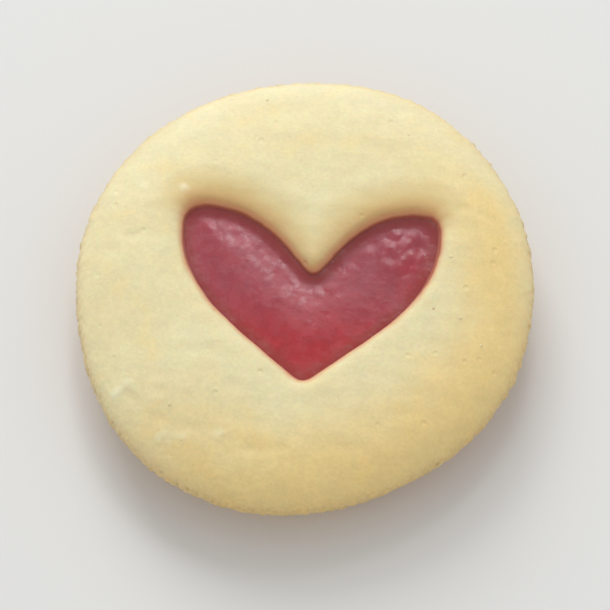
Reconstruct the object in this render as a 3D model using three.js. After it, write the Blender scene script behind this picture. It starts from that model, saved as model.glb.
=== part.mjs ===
// A linzer cookie: two round shortbread biscuits with a layer of jam between them. The upper
// biscuit has a heart-shaped window, and the jam stands in it to just below the rounded rim.
// Millimetres, +Z up. The cookie lies flat, and the tip of its heart points to -Y.
import * as THREE from 'three';

// Driving sizes of the three pieces.
const CUTTER_RADIUS = 25.9;
const BOTTOM_THICKNESS = 4.2;
const JAM_THICKNESS = 0.8;
const TOP_THICKNESS = 6.0;

// The dough spreads unevenly in the oven. A wave has a number of crests round the biscuit, a
// height in millimetres, and the direction of one crest in degrees from +X.
const TOP_WAVES = [
  { crests: 2, height: 0.52, toward: 58 },
  { crests: 3, height: 0.22, toward: 10 },
  { crests: 4, height: 0.25, toward: -33 },
  { crests: 7, height: 0.06, toward: 12 },
];
const BOTTOM_WAVES = [
  { crests: 2, height: 0.36, toward: 52 },
  { crests: 3, height: 0.22, toward: 20 },
  { crests: 5, height: 0.12, toward: 75 },
];
const JAM_WAVES = [
  { crests: 3, height: 0.4, toward: 100 },
  { crests: 5, height: 0.3, toward: 15 },
  { crests: 8, height: 0.22, toward: 70 },
  { crests: 13, height: 0.1, toward: 8 },
];

// The upper biscuit: a soft pillow over a flat underside.
const TOP_WIDEST = 1.2; // height of its widest line over its underside
const TOP_SHOULDER_WIDE = 3.8; // exponents of the pillow's section
const TOP_SHOULDER_HIGH = 2.2;
const TOP_LOWER_EDGE = 0.9; // how far the lower edge draws in

// Slow swells of the baked face: turns per millimetre along each axis, in radians.
const SWELL_HEIGHT = 0.1;
const SWELLS = [
  { alongX: 0.31, alongY: 0.12, start: 0 },
  { alongX: -0.16, alongY: 0.27, start: 2.6 },
];

// The lower biscuit: flat on both faces, with rounded edges.
const BOTTOM_SETBACK = 1.4; // its radius is this much less than the upper one's
const BOTTOM_SLIP = new THREE.Vector3(0.1, 1.2, 0); // it lies a little out of line
const BOTTOM_LOWER_EDGE = { inward: 1.0, upward: 1.2 };
const BOTTOM_UPPER_EDGE = { inward: 1.3, upward: 1.5 };

// The jam layer stops short of the biscuits' edges, and lies midway between the two.
const JAM_SETBACK = 2.3;
const JAM_SLIP = BOTTOM_SLIP.clone().multiplyScalar(0.5);
const JAM_EDGE_BULGE = 0.35;

// The heart cutter, the same on both sides of its axis but for the cleft, which lies a little
// to the right. Heights are over the cleft.
const HEART_PLACE = new THREE.Vector2(0.6, 0.6);
const HEART_TILT = THREE.MathUtils.degToRad(-3.2);
const CLEFT_LEAN = 0.5;
const LOBE_CREST = new THREE.Vector2(11.85, 7.8);
const LOBE_SIDE = new THREE.Vector2(13.95, 5.6);
const TIP_DROP = 12.4;
const CLEFT_HANDLE = new THREE.Vector2(1.7, 0.5);
const CREST_HANDLE_IN = 7.5;
const CREST_HANDLE_OUT = 1.3;
const SIDE_HANDLE_UP = 1.7;
const SIDE_HANDLE_DOWN = 8.1;
const TIP_HANDLE = new THREE.Vector2(7.3, 5.9);

// The window and the jam that stands in it.
const RIM_ROUND = 1.8; // radius of the rim
const JAM_BELOW_FACE = 1.65; // depth of the jam under the upper face
const JAM_CLEARANCE = 0.3; // gap between the jam and the window's wall
const JAM_CLIMB = 0.3; // how far the jam climbs at the wall
const JAM_CLIMB_WIDTH = 0.9;

// Points round each piece, and steps over a rounded edge.
const WINDOW_POINTS = 112;
const ROUND_POINTS = 96;
const EDGE_STEPS = 4;

// Rings of the upper biscuit's face: their distances from its edge and from the window, and
// their shares of the way between the two. Rings of the jam's surface in the same way.
const FACE_FROM_EDGE = [0.08, 0.4, 1.2, 2.6];
const FACE_BETWEEN = [0.8, 0.6, 0.4, 0.2];
const FACE_FROM_WINDOW = [2.6, 1.9, 1.3, 0.8, 0.4, 0.1];
const JAM_FROM_WINDOW = [JAM_CLEARANCE, 0.7, 1.3];
const JAM_BETWEEN = [0.75, 0.5, 0.25];
const JAM_FLATNESS = 4; // exponent of the dip from the last of these rings to the middle

const JAM_BASE = BOTTOM_THICKNESS;
const TOP_BASE = JAM_BASE + JAM_THICKNESS;
const CROWN = TOP_BASE + TOP_THICKNESS;
const JAM_LEVEL = CROWN - JAM_BELOW_FACE;
const HEART_MIDDLE = new THREE.Vector2(HEART_PLACE.x, HEART_PLACE.y - TIP_DROP / 4);

/** Radius of an unevenly baked round at an angle. */
function unevenRadius(radius, waves, angle) {
  let sum = radius;
  for (const wave of waves) {
    const crest = THREE.MathUtils.degToRad(wave.toward);
    sum += wave.height * Math.cos(wave.crests * (angle - crest));
  }
  return sum;
}

/** A ring of points at one height, at a distance inside an uneven round. */
function roundRing(radius, waves, angles, inward, height) {
  return angles.map((angle) => {
    const reach = unevenRadius(radius, waves, angle) - inward;
    return new THREE.Vector3(reach * Math.cos(angle), reach * Math.sin(angle), height);
  });
}

/** Shares (inward, upward) of a quarter round, from its flat end to its upright end. */
function quarterRound(steps) {
  return Array.from({ length: steps + 1 }, (_, i) => {
    const turn = (i / steps) * (Math.PI / 2);
    return { inward: 1 - Math.sin(turn), upward: 1 - Math.cos(turn) };
  });
}

/** Joins rings into one skin, in their order. A ring of one point closes an end. */
function skin(rings, name, material, closed = false) {
  const positions = [];
  const firsts = [];
  for (const ring of rings) {
    firsts.push(positions.length / 3);
    ring.forEach((point) => positions.push(point.x, point.y, point.z));
  }
  const faces = [];
  const bands = closed ? rings.length : rings.length - 1;
  for (let band = 0; band < bands; band += 1) {
    const next = (band + 1) % rings.length;
    const here = rings[band].length;
    const there = rings[next].length;
    const count = Math.max(here, there);
    for (let i = 0; i < count; i += 1) {
      const a = firsts[band] + (i % here);
      const b = firsts[band] + ((i + 1) % here);
      const c = firsts[next] + ((i + 1) % there);
      const d = firsts[next] + (i % there);
      if (a !== b) {
        faces.push(a, b, c);
      }
      if (c !== d) {
        faces.push(a, c, d);
      }
    }
  }
  const geometry = new THREE.BufferGeometry();
  geometry.setAttribute('position', new THREE.Float32BufferAttribute(positions, 3));
  geometry.setIndex(faces);
  geometry.computeVertexNormals();
  const mesh = new THREE.Mesh(geometry, material);
  mesh.name = name;
  return mesh;
}

/** The heart's outline, counter-clockwise from the cleft. */
function heartOutline() {
  const shape = new THREE.Shape();
  const innerX = LOBE_CREST.x - CREST_HANDLE_IN;
  const outerX = LOBE_CREST.x + CREST_HANDLE_OUT;
  const aboveSide = LOBE_SIDE.y + SIDE_HANDLE_UP;
  const belowSide = LOBE_SIDE.y - SIDE_HANDLE_DOWN;
  const aboveTip = TIP_HANDLE.y - TIP_DROP;
  const leftOfCleft = CLEFT_LEAN - CLEFT_HANDLE.x;
  const rightOfCleft = CLEFT_LEAN + CLEFT_HANDLE.x;
  shape.moveTo(CLEFT_LEAN, 0);
  shape.bezierCurveTo(leftOfCleft, CLEFT_HANDLE.y, -innerX, LOBE_CREST.y, -LOBE_CREST.x, LOBE_CREST.y);
  shape.bezierCurveTo(-outerX, LOBE_CREST.y, -LOBE_SIDE.x, aboveSide, -LOBE_SIDE.x, LOBE_SIDE.y);
  shape.bezierCurveTo(-LOBE_SIDE.x, belowSide, -TIP_HANDLE.x, aboveTip, 0, -TIP_DROP);
  shape.bezierCurveTo(TIP_HANDLE.x, aboveTip, LOBE_SIDE.x, belowSide, LOBE_SIDE.x, LOBE_SIDE.y);
  shape.bezierCurveTo(LOBE_SIDE.x, aboveSide, outerX, LOBE_CREST.y, LOBE_CREST.x, LOBE_CREST.y);
  shape.bezierCurveTo(innerX, LOBE_CREST.y, rightOfCleft, CLEFT_HANDLE.y, CLEFT_LEAN, 0);
  const points = shape.getSpacedPoints(WINDOW_POINTS).slice(0, WINDOW_POINTS);
  return soften(points).map((point) => point.rotateAround(new THREE.Vector2(), HEART_TILT).add(HEART_PLACE));
}

/** Rounds the corners of a closed outline by drawing each point towards its neighbours. */
function soften(points) {
  return points.map((point, i) => {
    const before = points[(i + points.length - 1) % points.length];
    const after = points[(i + 1) % points.length];
    return before.clone().add(after).multiplyScalar(0.25).addScaledVector(point, 0.5);
  });
}

/** A closed outline moved outwards by a distance, or inwards by a negative one. */
function offset(points, distance) {
  return points.map((point, i) => {
    const before = points[(i + points.length - 1) % points.length];
    const after = points[(i + 1) % points.length];
    const along = after.clone().sub(before).normalize();
    return new THREE.Vector2(point.x + along.y * distance, point.y - along.x * distance);
  });
}

/** Distance from a place to a closed outline. */
function distanceTo(points, place) {
  let nearest = Infinity;
  const along = new THREE.Vector2();
  const across = new THREE.Vector2();
  points.forEach((start, i) => {
    along.subVectors(points[(i + 1) % points.length], start);
    across.subVectors(place, start);
    const share = THREE.MathUtils.clamp(across.dot(along) / along.lengthSq(), 0, 1);
    nearest = Math.min(nearest, across.addScaledVector(along, -share).length());
  });
  return nearest;
}

const heart = heartOutline();

/** The direction in which each point of the heart faces the biscuit's edge. */
const outwardAngles = heart.map((point, i) => {
  const even = Math.PI / 2 + (i / WINDOW_POINTS) * 2 * Math.PI;
  const ray = Math.atan2(point.y - HEART_MIDDLE.y, point.x - HEART_MIDDLE.x);
  const turns = Math.round((even - ray) / (2 * Math.PI));
  return (even + ray + turns * 2 * Math.PI) / 2;
});

/** Height of the upper biscuit's face at a place. */
function faceHeight(place) {
  const angle = Math.atan2(place.y, place.x);
  const share = Math.min(place.length() / unevenRadius(CUTTER_RADIUS, TOP_WAVES, angle), 1);
  const pillow = (1 - share ** TOP_SHOULDER_WIDE) ** (1 / TOP_SHOULDER_HIGH);
  const swell = SWELLS
    .map((wave) => Math.sin(place.x * wave.alongX + place.y * wave.alongY + wave.start))
    .reduce((sum, height) => sum + height * SWELL_HEIGHT, 0);
  const intoRim = Math.max(RIM_ROUND - distanceTo(heart, place), 0);
  const rimDrop = RIM_ROUND - Math.sqrt(RIM_ROUND ** 2 - intoRim ** 2);
  const rise = TOP_THICKNESS - TOP_WIDEST + swell;
  return TOP_BASE + TOP_WIDEST + rise * pillow - rimDrop;
}

/** The upper biscuit: under its face, round its edge, over its face and down the window's wall. */
function makeTopBiscuit() {
  const rings = [];
  rings.push(heart.map((point) => new THREE.Vector3(point.x, point.y, TOP_BASE)));
  for (const part of quarterRound(EDGE_STEPS)) {
    const inward = part.inward * TOP_LOWER_EDGE;
    const height = TOP_BASE + part.upward * TOP_WIDEST;
    rings.push(roundRing(CUTTER_RADIUS, TOP_WAVES, outwardAngles, inward, height));
  }
  const edge = rings[rings.length - 1];
  const onFace = (distanceFromWindow) => edge.map((point, i) => {
    const place = new THREE.Vector2(point.x, point.y).sub(heart[i]);
    const width = place.length();
    place.setLength(distanceFromWindow(width)).add(heart[i]);
    return new THREE.Vector3(place.x, place.y, faceHeight(place));
  });
  const first = FACE_FROM_WINDOW[0];
  const last = FACE_FROM_EDGE[FACE_FROM_EDGE.length - 1];
  FACE_FROM_EDGE.forEach((gap) => rings.push(onFace((width) => width - gap)));
  FACE_BETWEEN.forEach((share) => {
    rings.push(onFace((width) => THREE.MathUtils.lerp(first, width - last, share)));
  });
  FACE_FROM_WINDOW.forEach((gap) => rings.push(onFace(() => gap)));
  const wallTop = heart.map((point) => new THREE.Vector3(point.x, point.y, faceHeight(point)));
  rings.push(wallTop);
  rings.push(wallTop.map((point) => point.clone().setZ((point.z + TOP_BASE) / 2)));
  const dough = new THREE.MeshStandardMaterial({ color: 0xe9d9a6, roughness: 0.75, metalness: 0 });
  return skin(rings, 'top_biscuit', dough, true);
}

/** The lower biscuit: a flat round with both edges rounded. */
function makeBottomBiscuit() {
  const angles = Array.from({ length: ROUND_POINTS }, (_, i) => (i / ROUND_POINTS) * 2 * Math.PI);
  const radius = CUTTER_RADIUS - BOTTOM_SETBACK;
  const rings = [[new THREE.Vector3(0, 0, 0)]];
  for (const part of quarterRound(EDGE_STEPS)) {
    const inward = part.inward * BOTTOM_LOWER_EDGE.inward;
    const height = part.upward * BOTTOM_LOWER_EDGE.upward;
    rings.push(roundRing(radius, BOTTOM_WAVES, angles, inward, height));
  }
  for (const part of quarterRound(EDGE_STEPS).reverse()) {
    const inward = part.inward * BOTTOM_UPPER_EDGE.inward;
    const height = BOTTOM_THICKNESS - part.upward * BOTTOM_UPPER_EDGE.upward;
    rings.push(roundRing(radius, BOTTOM_WAVES, angles, inward, height));
  }
  rings.push([new THREE.Vector3(0, 0, BOTTOM_THICKNESS)]);
  const dough = new THREE.MeshStandardMaterial({ color: 0xe2cc93, roughness: 0.8, metalness: 0 });
  const biscuit = skin(rings, 'bottom_biscuit', dough);
  biscuit.position.copy(BOTTOM_SLIP);
  return biscuit;
}

/** The jam: a thin layer between the biscuits, and above it the heart that fills the window. */
function makeJam() {
  const radius = CUTTER_RADIUS - JAM_SETBACK;
  const middle = JAM_BASE + JAM_THICKNESS / 2;
  const atEdge = (inward, height) => roundRing(radius, JAM_WAVES, outwardAngles, inward, height)
    .map((point) => point.add(JAM_SLIP));
  const inHeart = (inset, height) => offset(heart, -inset)
    .map((point) => new THREE.Vector3(point.x, point.y, height));
  const surface = (inset) => JAM_LEVEL + JAM_CLIMB * Math.exp((JAM_CLEARANCE - inset) / JAM_CLIMB_WIDTH);
  const rings = [[new THREE.Vector3(HEART_MIDDLE.x, HEART_MIDDLE.y, JAM_BASE)]];
  rings.push(atEdge(JAM_EDGE_BULGE, JAM_BASE));
  rings.push(atEdge(0, middle));
  rings.push(atEdge(JAM_EDGE_BULGE, TOP_BASE));
  rings.push(inHeart(JAM_CLEARANCE, TOP_BASE));
  rings.push(inHeart(JAM_CLEARANCE, (TOP_BASE + JAM_LEVEL) / 2));
  JAM_FROM_WINDOW.forEach((inset) => rings.push(inHeart(inset, surface(inset))));
  const lastInset = JAM_FROM_WINDOW[JAM_FROM_WINDOW.length - 1];
  const innermost = offset(heart, -lastInset);
  for (const share of JAM_BETWEEN) {
    const height = THREE.MathUtils.lerp(JAM_LEVEL, surface(lastInset), share ** JAM_FLATNESS);
    const shrunk = innermost.map((point) => point.clone().lerp(HEART_MIDDLE, 1 - share));
    rings.push(shrunk.map((point) => new THREE.Vector3(point.x, point.y, height)));
  }
  rings.push([new THREE.Vector3(HEART_MIDDLE.x, HEART_MIDDLE.y, JAM_LEVEL)]);
  const raspberry = new THREE.MeshStandardMaterial({ color: 0x9e2f3c, roughness: 0.3, metalness: 0 });
  return skin(rings, 'jam', raspberry);
}

const cookie = new THREE.Group();
cookie.add(makeBottomBiscuit(), makeJam(), makeTopBiscuit());

// The origin is at the middle of the resting face.
const bounds = new THREE.Box3().setFromObject(cookie);
const middle = bounds.getCenter(new THREE.Vector3());
cookie.position.set(-middle.x, -middle.y, -bounds.min.z);

export default cookie;
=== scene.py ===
import math
import random

import bpy
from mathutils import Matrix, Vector, noise
from mathutils.bvhtree import BVHTree


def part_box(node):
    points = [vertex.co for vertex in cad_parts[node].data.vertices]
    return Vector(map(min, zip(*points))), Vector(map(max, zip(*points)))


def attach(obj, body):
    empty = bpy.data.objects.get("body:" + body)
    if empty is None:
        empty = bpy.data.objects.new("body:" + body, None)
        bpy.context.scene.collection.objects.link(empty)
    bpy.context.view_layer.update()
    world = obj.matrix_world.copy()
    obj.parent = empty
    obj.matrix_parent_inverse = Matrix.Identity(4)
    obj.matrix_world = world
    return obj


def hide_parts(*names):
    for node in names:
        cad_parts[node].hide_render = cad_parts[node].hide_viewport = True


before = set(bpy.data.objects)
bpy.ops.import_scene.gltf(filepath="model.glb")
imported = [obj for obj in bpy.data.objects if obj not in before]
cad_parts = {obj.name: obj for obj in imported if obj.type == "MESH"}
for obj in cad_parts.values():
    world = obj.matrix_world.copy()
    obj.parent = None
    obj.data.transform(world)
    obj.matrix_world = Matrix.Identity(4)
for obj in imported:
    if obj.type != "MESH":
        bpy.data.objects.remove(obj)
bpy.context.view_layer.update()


# ---------------------------------------------------------------------------------------------
# The table under the cookie: one pale matt board, as in a studio. It reaches so far past the
# cookie that none of its edges shows.
table_size = 3.0

bpy.ops.object.select_all(action="DESELECT")
bpy.ops.mesh.primitive_plane_add(size=table_size, location=(0, 0, 0))
table = bpy.context.object
table.name = "table"
table_paint = bpy.data.materials.new("table_paint")
table_paint.use_nodes = True
table_shader = table_paint.node_tree.nodes["Principled BSDF"]
table_shader.inputs["Base Color"].default_value = (0.86, 0.86, 0.84, 1.0)
table_shader.inputs["Roughness"].default_value = 0.9
table.data.materials.append(table_paint)


# ---------------------------------------------------------------------------------------------
# The lower biscuit: butter, flour and sugar rolled out, cut with a round cutter and baked pale.
# It has no window, and is browner underneath, where it lay on the baking sheet.
MM = 0.001
scene = bpy.context.scene
lower_skin_spacing = 0.26 * MM
# The underside is flat up to the first height, and the side as rough as it gets from the second.
flat_below = 0.1 * MM
rough_above = 0.8 * MM


def pick(piece):
    """Makes a piece the only selected one."""
    bpy.ops.object.select_all(action="DESELECT")
    bpy.context.view_layer.objects.active = piece
    piece.select_set(True)


def copy_skin(node, name):
    """Copies a solid's skin as a piece of its own, with shared corners and four-sided faces."""
    piece = bpy.data.objects.new(name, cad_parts[node].data.copy())
    scene.collection.objects.link(piece)
    piece.data.materials.clear()
    pick(piece)
    bpy.ops.object.mode_set(mode="EDIT")
    bpy.ops.mesh.select_all(action="SELECT")
    bpy.ops.mesh.remove_doubles(threshold=0.001 * MM)
    bpy.ops.mesh.customdata_custom_splitnormals_clear()
    bpy.ops.mesh.tris_convert_to_quads(face_threshold=math.pi, shape_threshold=math.pi)
    bpy.ops.object.mode_set(mode="OBJECT")
    return piece


def finish_with(piece, kind, **settings):
    """Gives a piece a modifier with its settings, and applies it."""
    pick(piece)
    modifier = piece.modifiers.new(kind.lower(), kind)
    for name, value in settings.items():
        setattr(modifier, name, value)
    bpy.ops.object.modifier_apply(modifier=modifier.name)


def even_skin(piece, spacing, rounds):
    """Rounds a piece's facets, and lays an even net of small faces over it."""
    finish_with(piece, "SUBSURF", levels=2, render_levels=2)
    finish_with(piece, "REMESH", mode="VOXEL", voxel_size=spacing)
    finish_with(piece, "SMOOTH", factor=0.5, iterations=rounds)
    bpy.ops.object.shade_smooth()


def ease(value, low, high):
    """Climbs smoothly from 0 at low to 1 at high."""
    share = min(max((value - low) / (high - low), 0.0), 1.0)
    return share * share * (3 - 2 * share)


def weigh(piece, name, weights):
    """Makes a group of a piece's corners, with a weight for each."""
    group = piece.vertex_groups.new(name=name)
    for index, weight in enumerate(weights):
        if weight > 0.001:
            group.add([index], weight, "REPLACE")


def roughen(piece, size, depth, group="", crumbly=False):
    """Raises and lowers a piece's skin in lumps of a size, where its group says."""
    texture = bpy.data.textures.new(f"{piece.name}_lumps", "CLOUDS")
    texture.noise_scale = size
    texture.noise_type = "HARD_NOISE" if crumbly else "SOFT_NOISE"
    finish_with(piece, "DISPLACE", texture=texture, texture_coords="LOCAL", mid_level=0.5,
                strength=depth, vertex_group=group)


def crumble(piece, group):
    """Breaks a piece's skin up into sandy crumb, coarse and then fine, where its group says."""
    roughen(piece, size=1.2 * MM, depth=0.40 * MM, group=group, crumbly=True)
    roughen(piece, size=0.55 * MM, depth=0.22 * MM, group=group, crumbly=True)


class Wiring:
    """Adds nodes to one node tree. A value can be a number, a colour or another node's output."""

    def __init__(self, tree):
        self.tree = tree

    def join(self, values, sockets):
        """Sets sockets to values, or links them to the outputs given."""
        for value, socket in zip(values, sockets):
            if isinstance(value, bpy.types.NodeSocket):
                self.tree.links.new(value, socket)
            elif value is not None:
                socket.default_value = value

    def node(self, kind, operation, *values):
        """A node with its operation and its first inputs set."""
        node = self.tree.nodes.new(kind)
        if operation:
            node.operation = operation
        self.join(values, node.inputs)
        return node

    def maths(self, operation, *values):
        """The result of one sum."""
        return self.node("ShaderNodeMath", operation, *values).outputs[0]

    def noise(self, place, per_metre, detail):
        """Soft lumps, so many to a metre, from 0 to 1 and mostly near a half."""
        node = self.tree.nodes.new("ShaderNodeTexNoise")
        self.join((place, per_metre, detail),
                  (node.inputs["Vector"], node.inputs["Scale"], node.inputs["Detail"]))
        return node.outputs["Fac"]

    def noted(self, name):
        """A number that the piece's corners carry."""
        node = self.tree.nodes.new("ShaderNodeAttribute")
        node.attribute_name = name
        return node.outputs["Fac"]

    def cells(self, place, per_metre):
        """Scattered points: how far the nearest is, in cells, and a number of its own."""
        node = self.tree.nodes.new("ShaderNodeTexVoronoi")
        self.join((place, per_metre), (node.inputs["Vector"], node.inputs["Scale"]))
        own = self.node("ShaderNodeSeparateColor", None, node.outputs["Color"]).outputs[0]
        return node.outputs["Distance"], own

    def spread(self, value, low, high, to_low=0.0, to_high=1.0):
        """Climbs smoothly from to_low, where the value is low, to to_high, where it is high."""
        node = self.tree.nodes.new("ShaderNodeMapRange")
        node.interpolation_type = "SMOOTHSTEP"
        self.join((value, low, high, to_low, to_high), node.inputs)
        return node.outputs["Result"]

    def blend(self, share, first, second, mode="MIX"):
        """The first colour with a share of the second one laid over it."""
        node = self.tree.nodes.new("ShaderNodeMix")
        node.data_type = "RGBA"
        node.blend_type = mode
        colours = [socket for socket in node.inputs if socket.type == "RGBA"]
        self.join((share, first, second), (node.inputs["Factor"], *colours))
        return next(socket for socket in node.outputs if socket.type == "RGBA")

    def grey(self, value):
        """A grey as bright as a value."""
        return self.node("ShaderNodeCombineColor", None, value, value, value).outputs[0]


def shortbread_group():
    """Baked dough: cream, a golden rim partly painted shade, a painted far highlight, toasted,
    sandy.
    """
    group = bpy.data.node_groups.new("shortbread", "ShaderNodeTree")
    for name in ("Cream", "Golden", "Toasted"):
        group.interface.new_socket(name, in_out="INPUT", socket_type="NodeSocketColor")
    for name in ("Toasted Below", "Cream Above"):
        group.interface.new_socket(name, in_out="INPUT", socket_type="NodeSocketFloat")
    group.interface.new_socket("Color", in_out="OUTPUT", socket_type="NodeSocketColor")
    group.interface.new_socket("Roughness", in_out="OUTPUT", socket_type="NodeSocketFloat")
    group.interface.new_socket("Height", in_out="OUTPUT", socket_type="NodeSocketFloat")
    tree = Wiring(group)
    given = group.nodes.new("NodeGroupInput").outputs
    result = group.nodes.new("NodeGroupOutput").inputs
    gold_and_shade_side = (0.75, -0.66, 0.0)
    warm_tint = (1.01, 0.98, 0.95, 1.0)
    peach_tint = (1.02, 0.975, 0.90, 1.0)
    far_highlight_tint = (1.01, 1.02, 1.08, 1.0)
    speck_brown = (0.62, 0.42, 0.20, 1.0)
    pore_brown = (0.50, 0.31, 0.13, 1.0)

    # How far from the middle a place lies, how far round to the far side, and how high.
    place = group.nodes.new("ShaderNodeTexCoord").outputs["Object"]
    flat = tree.node("ShaderNodeVectorMath", "MULTIPLY", place, (1.0, 1.0, 0.0)).outputs[0]
    reach = tree.node("ShaderNodeVectorMath", "LENGTH", flat).outputs["Value"]
    outward = tree.node("ShaderNodeVectorMath", "NORMALIZE", flat).outputs[0]
    toward_gold_and_shade = tree.node("ShaderNodeVectorMath", "DOT_PRODUCT", outward,
                            gold_and_shade_side).outputs["Value"]
    far = tree.node("ShaderNodeSeparateXYZ", None, outward).outputs["Y"]
    height = tree.node("ShaderNodeSeparateXYZ", None, place).outputs["Z"]

    # A ragged golden rim, partly browning and partly painted shade, strongest on the side
    # turned away from the back light. Its very edge, painted shade, is strong on the near
    # side and weak on the far one.
    patches = tree.noise(place, 160.0, 3.0)
    ragged = tree.maths("MULTIPLY_ADD", tree.maths("SUBTRACT", patches, 0.5), 5 * MM, reach)
    near_edge_shade = tree.spread(far, -0.6, 0.1, 1.3, 0.4)
    rim = tree.maths("MULTIPLY", tree.spread(ragged, 13 * MM, 21.5 * MM),
                     tree.spread(reach, 22 * MM, 25 * MM, 1.0, near_edge_shade))
    gold = tree.maths("MULTIPLY", rim, tree.spread(toward_gold_and_shade, -0.35, 0.7, 0.1, 1.0))
    tone = tree.blend(gold, given["Cream"], given["Golden"])

    # Warm and peach patches over the face, and a painted highlight along the far edge, where the
    # back light falls.
    warmth = tree.spread(tree.noise(place, 95.0, 3.0), 0.35, 0.7)
    tone = tree.blend(warmth, tone, warm_tint, "MULTIPLY")
    blush = tree.maths("MULTIPLY", tree.spread(tree.noise(place, 260.0, 2.0), 0.52, 0.72),
                       tree.spread(reach, 8 * MM, 20 * MM, 0.2, 1.0))
    tone = tree.blend(blush, tone, peach_tint, "MULTIPLY")
    paler = tree.maths("MULTIPLY", tree.spread(far, 0.2, 0.9), tree.spread(reach, 19 * MM, 24 * MM))
    tone = tree.blend(paler, tone, far_highlight_tint, "MULTIPLY")

    # The side browns towards its foot. It is cut dough, open and sandier than the face.
    low = tree.spread(height, given["Cream Above"], given["Toasted Below"])
    tone = tree.blend(low, tone, given["Toasted"])
    cut = tree.spread(low, 0.08, 0.45)

    # Streaks that rolling drew out along X, a fine mottle, and the sugar's and flour's sand.
    drawn = tree.node("ShaderNodeVectorMath", "MULTIPLY", place, (0.25, 1.0, 1.0)).outputs[0]
    streak = tree.spread(tree.noise(drawn, 420.0, 3.0), 0.35, 0.65, 0.985, 1.01)
    mottle = tree.maths("MULTIPLY", streak,
                        tree.spread(tree.noise(place, 520.0, 4.0), 0.3, 0.7, 0.965, 1.02))
    darkest_sand = tree.spread(cut, 0.0, 1.0, 0.965, 0.90)
    sand = tree.spread(tree.noise(place, 2400.0, 2.0), 0.25, 0.75, darkest_sand, 1.03)
    tone = tree.blend(1.0, tone, tree.grey(tree.maths("MULTIPLY", mottle, sand)), "MULTIPLY")

    # Few brown specks, small pits all over, and pores in the cut side.
    from_speck, chance = tree.cells(place, 140.0)
    speck = tree.maths("MULTIPLY", tree.spread(from_speck, 0.035, 0.02),
                       tree.maths("GREATER_THAN", chance, 0.7))
    tone = tree.blend(speck, tone, speck_brown)
    from_pit, chance = tree.cells(place, 620.0)
    pit = tree.maths("MULTIPLY", tree.spread(from_pit, 0.26, 0.08),
                     tree.spread(chance, 0.72, 0.95))
    from_pore, chance = tree.cells(place, 1100.0)
    pore = tree.maths("MULTIPLY", tree.spread(from_pore, 0.34, 0.12), tree.spread(chance, 0.5, 0.8))
    pore = tree.maths("MULTIPLY", pore, cut)
    tone = tree.blend(tree.maths("MULTIPLY", pore, 0.45), tone, pore_brown)
    grain = tree.maths("MULTIPLY_ADD", tree.noise(place, 4200.0, 2.0), 0.4,
                       tree.noise(place, 1500.0, 3.0))
    grain = tree.maths("MULTIPLY_ADD", pit, -2.2, tree.maths("MULTIPLY_ADD", pore, -1.6, grain))

    group.links.new(tone, result["Color"])
    group.links.new(tree.spread(patches, 0.3, 0.7, 0.62, 0.75), result["Roughness"])
    group.links.new(grain, result["Height"])
    return group


shortbread = shortbread_group()


def shortbread_material(name, cream, golden, toasted, toasted_below, cream_above,
                        glow=1.2 * MM):
    """A material of baked dough, with its own tones, heights of browning and glow depth."""
    material = bpy.data.materials.new(name)
    material.use_nodes = True
    tree = Wiring(material.node_tree)
    nodes = material.node_tree.nodes
    look = nodes.new("ShaderNodeGroup")
    look.node_tree = shortbread
    tree.join(((*cream, 1.0), (*golden, 1.0), (*toasted, 1.0), toasted_below, cream_above),
              look.inputs)
    bump = nodes.new("ShaderNodeBump")
    bump.inputs["Strength"].default_value = 0.5
    bump.inputs["Distance"].default_value = 0.08 * MM
    tree.join((look.outputs["Height"],), (bump.inputs["Height"],))
    shader = nodes["Principled BSDF"]
    tree.join((look.outputs["Color"], look.outputs["Roughness"], bump.outputs["Normal"]),
              (shader.inputs["Base Color"], shader.inputs["Roughness"], shader.inputs["Normal"]))
    shader.inputs["Specular IOR Level"].default_value = 0.5
    shader.inputs["Sheen Weight"].default_value = 0.12
    shader.inputs["Sheen Roughness"].default_value = 0.5
    shader.inputs["Subsurface Weight"].default_value = 0.35
    shader.inputs["Subsurface Radius"].default_value = (1.0, 0.6, 0.3)
    shader.inputs["Subsurface Scale"].default_value = glow
    return material


lower_biscuit = copy_skin("bottom_biscuit", "lower_biscuit")
even_skin(lower_biscuit, lower_skin_spacing, rounds=3)
weigh(lower_biscuit, "free", [ease(corner.co.z, flat_below, rough_above)
                              for corner in lower_biscuit.data.vertices])
roughen(lower_biscuit, size=5.0 * MM, depth=0.24 * MM, group="free")
crumble(lower_biscuit, "free")
lower_biscuit.data.materials.append(shortbread_material(
    "lower_biscuit_dough", cream=(0.90, 0.77, 0.44), golden=(0.88, 0.68, 0.32),
    toasted=(0.62, 0.37, 0.13), toasted_below=0.3 * MM, cream_above=3.4 * MM))
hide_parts("bottom_biscuit")
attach(lower_biscuit, "root")


# ---------------------------------------------------------------------------------------------
# Raspberry jam, boiled down until it sets: a thin layer that holds the biscuits together, and
# the heart that fills the window. Spooned in warm, it has stuck to the window's wall, climbed a
# little up its far side and set with small curds in one lobe.
jam_skin_spacing = 0.25 * MM
jam_into_wall = 1.3 * MM
window_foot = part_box("top_biscuit")[0].z
jam_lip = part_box("jam")[1].z
# The solid's top sags from its lip to its middle, by a little less than this.
jam_dip = 0.33 * MM
# The piece's top starts out level at this height.
jam_level = jam_lip - 0.26 * MM
# The top begins at the first height, and is all of the skin above the second.
top_starts = 9.0 * MM
top_whole = 9.2 * MM
slack = 0.1 * MM
jam_dome = 0.25 * MM
jam_climb = 0.12 * MM
# The far side of the window's wall, as a direction, turned a little towards +X. The jam's
# painted shade lies along the wall on this side.
jam_back = Vector((0.3, 0.95, 0))
curd_size = 1.4 * MM
curd_height = 0.28 * MM
# The curds' patch: its middle, and how far from there they start to thin and are gone.
curd_middle = Vector((11.3, 4.2)) * MM
curds_thin = 1.5 * MM
curds_gone = 4.6 * MM
curds_at_back = 0.45


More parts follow.
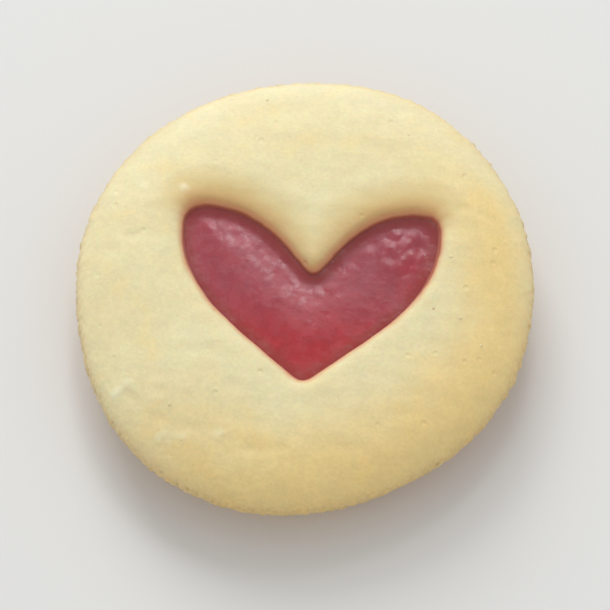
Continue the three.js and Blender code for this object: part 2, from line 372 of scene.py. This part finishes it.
def select_corners(piece, wanted):
    """Opens a piece for editing with the wanted corners selected."""
    pick(piece)
    bpy.ops.object.mode_set(mode="EDIT")
    bpy.ops.mesh.select_mode(type="VERT")
    bpy.ops.mesh.select_all(action="DESELECT")
    bpy.ops.object.mode_set(mode="OBJECT")
    for corner in piece.data.vertices:
        corner.select = wanted(corner.co)
    bpy.ops.object.mode_set(mode="EDIT")


def measure_to(node, piece, back, inside=None):
    """For each corner of a piece: how far a solid is, and how much towards the back it lies.

    A corner inside the solid gets the given distance instead.
    """
    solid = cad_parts[node].data
    tree = BVHTree.FromPolygons([corner.co for corner in solid.vertices],
                                [face.vertices for face in solid.polygons])
    gaps, sides = [], []
    for corner in piece.data.vertices:
        place, facing, _, gap = tree.find_nearest(corner.co)
        toward = (place - corner.co).normalized()
        sunk = inside is not None and toward.dot(facing) > 0
        gaps.append(inside if sunk else gap)
        sides.append(-toward.dot(back) if sunk else toward.dot(back))
    return gaps, sides


def note(piece, name, values):
    """Writes one number for each corner of a piece, which its material reads by name."""
    layer = piece.data.attributes.new(name, "FLOAT", "POINT")
    layer.data.foreach_set("value", values)


def domed(place, gap):
    """How far the jam's top is domed at a place: most in the middle, least in the right lobe."""
    return ease(gap, 0.9 * MM, 4.2 * MM) * (1 - 0.75 * ease(place.x, 0, 5 * MM))


def climbed(gap, side):
    """How far the jam has climbed the wall: close to it, on its far side."""
    return ease(gap, 1.1 * MM, 0.0) * ease(side, 0.0, 0.7)


def curdled(place, gap, side):
    """How high the curds are at a place: in their patch, and lower along the far wall."""
    in_patch = ease((place.xy - curd_middle).length, curds_gone, curds_thin)
    at_back = curds_at_back * ease(side, 0.1, 0.6) * ease(gap, 3.2 * MM, 2.0 * MM)
    return ease(gap, 0.8 * MM, 1.9 * MM) * max(in_patch, at_back)


jam = copy_skin("jam", "jam_filling")
# The heart's wall and lip swell into the window's wall, with a sharp edge between them, and its
# top is levelled.
select_corners(jam, lambda place: place.z > window_foot + slack
               and not jam_lip - jam_dip < place.z < jam_lip - slack / 2)
bpy.ops.transform.shrink_fatten(value=jam_into_wall, use_even_offset=True)
bpy.ops.object.mode_set(mode="OBJECT")
select_corners(jam, lambda place: place.z > jam_lip + slack)
bpy.ops.transform.edge_crease(value=1.0)
bpy.ops.object.mode_set(mode="OBJECT")
select_corners(jam, lambda place: place.z > jam_level - slack)
bpy.ops.transform.resize(value=(1, 1, 0), center_override=(0, 0, jam_level))
bpy.ops.object.mode_set(mode="OBJECT")
even_skin(jam, jam_skin_spacing, rounds=2)

# The top rises in a low dome, climbs the wall, and is then smoothed.
from_wall, wall_side = measure_to("top_biscuit", jam, jam_back, inside=0.0)
on_top = [ease(corner.co.z, top_starts, top_whole) for corner in jam.data.vertices]
weigh(jam, "dome", [top * domed(corner.co, gap)
                    for corner, gap, top in zip(jam.data.vertices, from_wall, on_top)])
finish_with(jam, "DISPLACE", direction="Z", mid_level=0.0, strength=jam_dome,
            vertex_group="dome")
weigh(jam, "climb", [top * climbed(gap, side)
                     for gap, side, top in zip(from_wall, wall_side, on_top)])
finish_with(jam, "DISPLACE", direction="Z", mid_level=0.0, strength=jam_climb,
            vertex_group="climb")
weigh(jam, "top", on_top)
finish_with(jam, "SMOOTH", factor=0.5, iterations=12, vertex_group="top")
roughen(jam, size=4.0 * MM, depth=0.07 * MM)
roughen(jam, size=0.9 * MM, depth=0.02 * MM)

# Curds: low round lumps.
weigh(jam, "curds", [
    top * curdled(corner.co, gap, side)
    for corner, gap, side, top in zip(jam.data.vertices, from_wall, wall_side, on_top)])
curds = bpy.data.textures.new("curds", "VORONOI")
curds.noise_scale = curd_size
curds.distance_metric = "DISTANCE_SQUARED"
finish_with(jam, "DISPLACE", texture=curds, texture_coords="LOCAL", mid_level=0.5,
            strength=-curd_height, vertex_group="curds")
note(jam, "from_wall", from_wall)
note(jam, "wall_side", wall_side)


def jam_material():
    """Set jam: plum, redder towards the tip, with painted shade darkest along the wall behind."""
    plum = (0.40, 0.06, 0.084, 1.0)
    clear_red = (0.48, 0.023, 0.030, 1.0)
    painted_shade_plum = (0.27, 0.032, 0.05, 1.0)
    edge_stain_and_shade = (0.31, 0.045, 0.03, 1.0)
    material = bpy.data.materials.new("raspberry_jam")
    material.use_nodes = True
    tree = Wiring(material.node_tree)
    nodes = material.node_tree.nodes
    place = nodes.new("ShaderNodeTexCoord").outputs["Object"]
    across, along, _ = tree.node("ShaderNodeSeparateXYZ", None, place).outputs

    # Clearer jam towards the tip and on the right, and pulp all through it.
    toward_tip = tree.spread(along, 1 * MM, -9 * MM)
    right_side = tree.maths("MULTIPLY", tree.spread(across, 9 * MM, 12 * MM),
                            tree.spread(along, 5 * MM, 0.5 * MM, 0.0, 0.55))
    mottle = tree.spread(tree.noise(place, 260.0, 4.0), 0.3, 0.6, 0.75, 1.0)
    clear = tree.maths("MULTIPLY", tree.maths("MAXIMUM", toward_tip, right_side), mottle)
    tone = tree.blend(clear, plum, clear_red)
    pulp = tree.maths("MULTIPLY", tree.spread(tree.noise(place, 700.0, 3.0), 0.3, 0.7, 0.92, 1.06),
                      tree.spread(across, 3 * MM, 10 * MM, 1.0, 0.92))
    tone = tree.blend(1.0, tone, tree.grey(pulp), "MULTIPLY")

    # Painted shade along the far wall, where the wall shades the jam, and a brown edge that is
    # partly stain and partly painted shade.
    wander = tree.maths("SUBTRACT", tree.noise(place, 600.0, 2.0), 0.5)
    gap = tree.maths("MULTIPLY_ADD", wander, 0.8 * MM, tree.noted("from_wall"))
    painted_shade_side = tree.spread(tree.noted("wall_side"), -0.1, 0.6)
    # Painted shade: the jam darkens near the wall on its far side, as if in the wall's shadow.
    painted_wall_shade = tree.maths("MULTIPLY", painted_shade_side, tree.spread(gap, 1.9 * MM, 0.3 * MM, 0.0, 0.9))
    tone = tree.blend(painted_wall_shade, tone, painted_shade_plum)
    # A brown line at the very edge: partly jam stain, partly painted shade where jam meets wall.
    tone = tree.blend(tree.spread(gap, 1.6 * MM, 0.1 * MM, 0.0, 0.65), tone, edge_stain_and_shade)

    # Gloss in patches, sharper at the wall, over pulp and small seeds under the skin.
    patchy = tree.spread(tree.noise(place, 900.0, 2.0), 0.35, 0.65, 0.20, 0.38)
    sharper = tree.maths("MULTIPLY", tree.spread(across, 2 * MM, 8 * MM, 1.0, 0.95),
                         tree.spread(gap, 0.4 * MM, 1.6 * MM, 0.7, 1.0))
    roughness = tree.maths("MULTIPLY", patchy, sharper)
    from_seed, chance = tree.cells(place, 1300.0)
    seeds = tree.maths("MULTIPLY", tree.spread(from_seed, 0.5, 0.1),
                       tree.maths("GREATER_THAN", chance, 0.5))
    pulpy = tree.maths("MULTIPLY_ADD", seeds, 0.12, tree.noise(place, 1700.0, 3.0))
    bump = nodes.new("ShaderNodeBump")
    bump.inputs["Strength"].default_value = 0.4
    bump.inputs["Distance"].default_value = 0.05 * MM
    tree.join((pulpy,), (bump.inputs["Height"],))

    shader = nodes["Principled BSDF"]
    tree.join((tone, roughness, bump.outputs["Normal"]),
              (shader.inputs["Base Color"], shader.inputs["Roughness"], shader.inputs["Normal"]))
    shader.inputs["Subsurface Weight"].default_value = 0.35
    shader.inputs["Subsurface Radius"].default_value = (1.0, 0.15, 0.15)
    shader.inputs["Subsurface Scale"].default_value = 1.2 * MM
    return material


jam.data.materials.append(jam_material())
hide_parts("jam")
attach(jam, "root")


# ---------------------------------------------------------------------------------------------
# The upper biscuit, of the same dough, with the heart cut out of it before baking. Its face is
# smooth, the window's rim has rounded in the oven, and jam has soaked into it along the window.
# Painted shade is mixed into that stain round the window.
upper_skin_spacing = 0.25 * MM
# Low ripples that rolling left across the face, at a slant. Lengths and widths in millimetres.
ripple_length = 5.5
ripple_width = 1.5
ripple_slant = 0.12
ripple_depth = 0.13 * MM
# Creases and ridges lie on the face only, which is all of the skin above this height.
face_above = 7 * MM
# Shallow creases where the dough was pressed, each a line of places on the face in millimetres.
creases = (
    ((-19.4, -12.6), (-18.2, -14.2), (-16.6, -15.6), (-14.4, -16.7), (-10.1, -17.4)),
    ((-18.2, -11.9), (-16.9, -12.7), (-15.7, -12.8)),
    ((-6.9, -19.6), (-4.6, -19.9), (-2.3, -19.5)),
    ((17.5, 9.0), (19.4, 8.4), (21.2, 7.5)),
    ((-19.9, 5.9), (-19.1, 5.6), (-18.5, 5.8)),
)
crease_half_width = 0.9  # in millimetres, as the places are
crease_depth = 0.10 * MM
# Small pale ridges and flecks that stand up from the face, each with its share of the height.
ridges = (
    (0.8, ((-16.0, -17.9), (-15.3, -17.6))),
    (0.7, ((-14.8, -18.2), (-14.0, -17.9), (-13.3, -18.1))),
    (0.9, ((-9.7, -18.1), (-9.2, -17.8))),
    (1.3, ((-13.5, 11.4), (-13.3, 11.2))),
    (0.7, ((-18.0, 11.9), (-17.7, 11.7))),
    (1.7, ((-20.9, -12.7), (-20.5, -12.4))),
    (0.7, ((-19.8, -11.6), (-19.2, -11.9))),
)
ridge_half_width = 0.8  # in millimetres, as the places are
ridge_height = 0.11 * MM
# Straight from the heart's tip to its cleft: the side where the dough's painted shade lies.
heart_back = Vector((0, 1, 0))


def soaked(material):
    """Tints a dough by jam stain and painted shade: tan round the window, dark red down its wall.
    """
    honey_stain_and_shade = (0.74, 0.57, 0.245, 1.0)
    tan_stain_and_shade = (0.66, 0.385, 0.15, 1.0)
    orange = (0.78, 0.36, 0.18, 1.0)
    dark_red_stain_and_shade = (0.42, 0.07, 0.05, 1.0)
    dried_cream = (1.0, 0.95, 0.70, 1.0)
    tree = Wiring(material.node_tree)
    nodes = material.node_tree.nodes
    shader = nodes["Principled BSDF"]
    tone = shader.inputs["Base Color"].links[0].from_socket
    place = nodes.new("ShaderNodeTexCoord").outputs["Object"]
    across, _, height = tree.node("ShaderNodeSeparateXYZ", None, place).outputs
    wander = tree.maths("SUBTRACT", tree.noise(place, 500.0, 2.0), 0.5)
    reach = tree.maths("MULTIPLY_ADD", wander, 0.6 * MM, tree.noted("from_jam"))

    # Honey and tan, all but only behind the window: jam stain with painted shade where the rim
    # slopes away from the back light. Orange all round it.
    painted_shade_side = tree.spread(tree.noted("jam_side"), 0.1, -1.0, 0.05, 1.0)
    for stain_and_shade, ends, full, most, where in (
            (honey_stain_and_shade, 6.5 * MM, 1.8 * MM, 1.0, painted_shade_side),
            (tan_stain_and_shade, 3.5 * MM, 0.9 * MM, 0.95, painted_shade_side),
            (orange, 1.7 * MM, 0.7 * MM, 0.75, 1.0)):
        share = tree.maths("MULTIPLY", tree.spread(reach, ends, full, 0.0, most), where)
        tone = tree.blend(share, tone, stain_and_shade)

    # Dark red low on the window's wall, partly jam stain and partly painted shade. It reaches a
    # little higher up at the right lobe's end as painted shadow.
    right_end_shade = tree.spread(across, 13 * MM, 14.4 * MM, 0.0, 0.17 * MM)
    level = tree.maths("SUBTRACT", tree.maths("MULTIPLY_ADD", wander, 0.3 * MM, height), right_end_shade)
    share = tree.maths("MULTIPLY", tree.spread(level, 10.1 * MM, 9.7 * MM),
                       tree.spread(reach, 1.4 * MM, 0.7 * MM, 0.0, 0.85))
    tone = tree.blend(share, tone, dark_red_stain_and_shade)

    # Ridges and flecks dried pale.
    tone = tree.blend(tree.maths("MULTIPLY", tree.noted("paler"), 0.5), tone, dried_cream)
    tree.join((tone,), (shader.inputs["Base Color"],))
    return material


def rippled(place):
    """How deep the ripples are at a place, from 0 to 1. They fade out over the face's edges."""
    slanted = place.y + ripple_slant * place.x
    where = Vector((place.x / ripple_length, slanted / ripple_width, 0)) / MM
    return ease(place.z, 8.8 * MM, 10.4 * MM) * (0.5 + 0.5 * noise.noise(where))


def sandy(place):
    """How sandy the skin is at a place: not at all on the face, and most low on the side."""
    at_rim = ease(place.xy.length, 22 * MM, 25 * MM)
    return at_rim * (0.25 + 0.75 * ease(place.z, 8.2 * MM, 6.4 * MM))


def distance_to_line(place, line):
    """Distance in the plane from a place to a line of places, all in millimetres."""
    gaps = []
    for start, end in zip(line, line[1:]):
        along = Vector(end) - Vector(start)
        share = min(max((place - Vector(start)).dot(along) / along.length_squared, 0.0), 1.0)
        gaps.append((place - Vector(start) - along * share).length)
    return min(gaps)


def creased(place):
    """How deep the creases are at a place, from 0 to 1. They wax and wane along X."""
    if place.z <= face_above:
        return 0.0
    near = max(ease(distance_to_line(place.xy / MM, line), crease_half_width, 0.0)
               for line in creases)
    return near * (0.65 + 0.35 * math.sin(place.x * 1.9 / MM))


def raised(place):
    """How high the ridges are at a place, as a share of the ridge height. They are uneven."""
    if place.z <= face_above:
        return 0.0
    near = max(share * ease(distance_to_line(place.xy / MM, line), ridge_half_width, 0.0)
               for share, line in ridges)
    return near * (0.7 + 0.6 * noise.noise(place * 2.5 / MM))


upper_biscuit = copy_skin("top_biscuit", "upper_biscuit")
even_skin(upper_biscuit, upper_skin_spacing, rounds=3)
roughen(upper_biscuit, size=7.0 * MM, depth=0.16 * MM)
roughen(upper_biscuit, size=1.8 * MM, depth=0.05 * MM)
roughen(upper_biscuit, size=0.7 * MM, depth=0.03 * MM)
weigh(upper_biscuit, "rippled", [rippled(corner.co) for corner in upper_biscuit.data.vertices])
finish_with(upper_biscuit, "DISPLACE", mid_level=0.0, strength=-ripple_depth,
            vertex_group="rippled")
weigh(upper_biscuit, "sandy", [sandy(corner.co) for corner in upper_biscuit.data.vertices])
crumble(upper_biscuit, "sandy")
weigh(upper_biscuit, "creased", [creased(corner.co) for corner in upper_biscuit.data.vertices])
finish_with(upper_biscuit, "DISPLACE", mid_level=0.0, strength=-crease_depth,
            vertex_group="creased")
ridge_shares = [raised(corner.co) for corner in upper_biscuit.data.vertices]
weigh(upper_biscuit, "raised", ridge_shares)
finish_with(upper_biscuit, "DISPLACE", mid_level=0.0, strength=ridge_height,
            vertex_group="raised")
note(upper_biscuit, "paler", ridge_shares)
from_jam, jam_side = measure_to("jam", upper_biscuit, heart_back)
note(upper_biscuit, "from_jam", from_jam)
note(upper_biscuit, "jam_side", jam_side)

upper_biscuit.data.materials.append(soaked(shortbread_material(
    "upper_biscuit_dough", cream=(0.895, 0.82, 0.50), golden=(0.92, 0.72, 0.32),
    toasted=(0.72, 0.48, 0.19), toasted_below=5.0 * MM, cream_above=8.4 * MM)))
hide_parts("top_biscuit")
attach(upper_biscuit, "root")


# ---------------------------------------------------------------------------------------------
# Crumbs of the same dough, which fell on the biscuit before it was baked and stuck to its face.
# They lie anywhere on it, each with its middle a little under the skin.
crumbs_fallen = 12  # with those that fell through the window
crumb_reach = 24  # how far from the biscuit's middle they lie at most, in millimetres
crumb_half_widths = (0.10, 0.20)  # in millimetres
above_face = 20  # a height well over the face, in millimetres
sunk_share = 0.25  # how deep a crumb's middle lies under the skin, in half widths

draw = random.Random(5)
crumb_places = []
for _ in range(crumbs_fallen):
    turn = draw.uniform(0, 2 * math.pi)
    reach = crumb_reach * math.sqrt(draw.random())
    crumb_places.append((reach * math.cos(turn), reach * math.sin(turn),
                         draw.uniform(*crumb_half_widths)))

bpy.ops.object.select_all(action="DESELECT")
bpy.ops.mesh.primitive_ico_sphere_add(subdivisions=3, radius=1.0 * MM)
first_crumb = bpy.context.object
finish_with(first_crumb, "SUBSURF", levels=1, render_levels=1)
roughen(first_crumb, size=0.9 * MM, depth=0.5 * MM)

biscuit_face = BVHTree.FromObject(upper_biscuit, bpy.context.evaluated_depsgraph_get())
copies = []
for x, y, half in crumb_places:
    ground, facing, _, _ = biscuit_face.ray_cast(Vector((x, y, above_face)) * MM,
                                                 Vector((0, 0, -1)))
    if ground is None:
        continue
    crumb = bpy.data.objects.new("crumb", first_crumb.data.copy())
    scene.collection.objects.link(crumb)
    crumb.location = ground - facing * half * MM * sunk_share
    crumb.rotation_euler = (draw.uniform(0, 0.4), draw.uniform(0, 0.4), draw.uniform(0, 6.28))
    crumb.scale = (half * draw.uniform(1.0, 1.5), half, half * draw.uniform(0.6, 0.8))
    copies.append(crumb)
bpy.data.objects.remove(first_crumb)
bpy.ops.object.select_all(action="DESELECT")
for crumb in copies:
    crumb.select_set(True)
bpy.context.view_layer.objects.active = copies[0]
bpy.ops.object.join()
bpy.ops.object.transform_apply()
bpy.ops.object.shade_smooth()
crumbs = bpy.context.object
crumbs.name = "crumbs"
crumbs.data.materials.append(shortbread_material(
    "crumb_dough", cream=(0.90, 0.80, 0.48), golden=(0.90, 0.76, 0.42),
    toasted=(0.80, 0.62, 0.32), toasted_below=4.5 * MM, cream_above=7.5 * MM, glow=0.1 * MM))
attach(crumbs, "root")


# ---------------------------------------------------------------------------------------------
# Studio light: a big soft box low behind the cookie, a small high one that the jam mirrors, and
# a bright even surround.
surround_strength = 0.59


def soft_box(name, elevation, turn, distance, size, power):
    """A square lamp that faces the cookie. It stands behind it, turned towards +X."""
    up, round_z = math.radians(elevation), math.radians(turn)
    away = Vector((math.cos(up) * math.sin(round_z), math.cos(up) * math.cos(round_z),
                   math.sin(up)))
    bpy.ops.object.light_add(type="AREA", location=away * distance)
    lamp = bpy.context.object
    lamp.name = name
    lamp.rotation_euler = away.to_track_quat("Z", "Y").to_euler()
    lamp.data.shape = "SQUARE"
    lamp.data.size = size
    lamp.data.energy = power


soft_box("back_light", elevation=33, turn=-12, distance=1.0, size=0.55, power=4.5)
soft_box("jam_light", elevation=56, turn=9, distance=0.8, size=0.18, power=0.58)
surround = bpy.data.worlds.new("surround")
scene.world = surround
surround.use_nodes = True
surround.node_tree.nodes["Background"].inputs["Color"].default_value = (1.0, 1.0, 1.0, 1.0)
surround.node_tree.nodes["Background"].inputs["Strength"].default_value = surround_strength
scene.view_settings.view_transform = "Standard"


# ---------------------------------------------------------------------------------------------
# The camera looks steeply down on the cookie from the tip of its heart. It stands well back, so
# that near and far edges look alike.
view_elevation = math.radians(67)
view_distance = 0.65
frame_width = 67.8 * MM
aim = Vector((0, 0, 3.8 * MM))

toward_camera = Vector((0, -math.cos(view_elevation), math.sin(view_elevation)))
bpy.ops.object.camera_add(location=aim + toward_camera * view_distance)
camera = bpy.context.object
camera.rotation_euler = toward_camera.to_track_quat("Z", "Y").to_euler()
camera.data.sensor_width = 36
camera.data.lens = camera.data.sensor_width * view_distance / frame_width
camera.data.clip_start = 0.01
scene.camera = camera

bpy.context.view_layer.update()
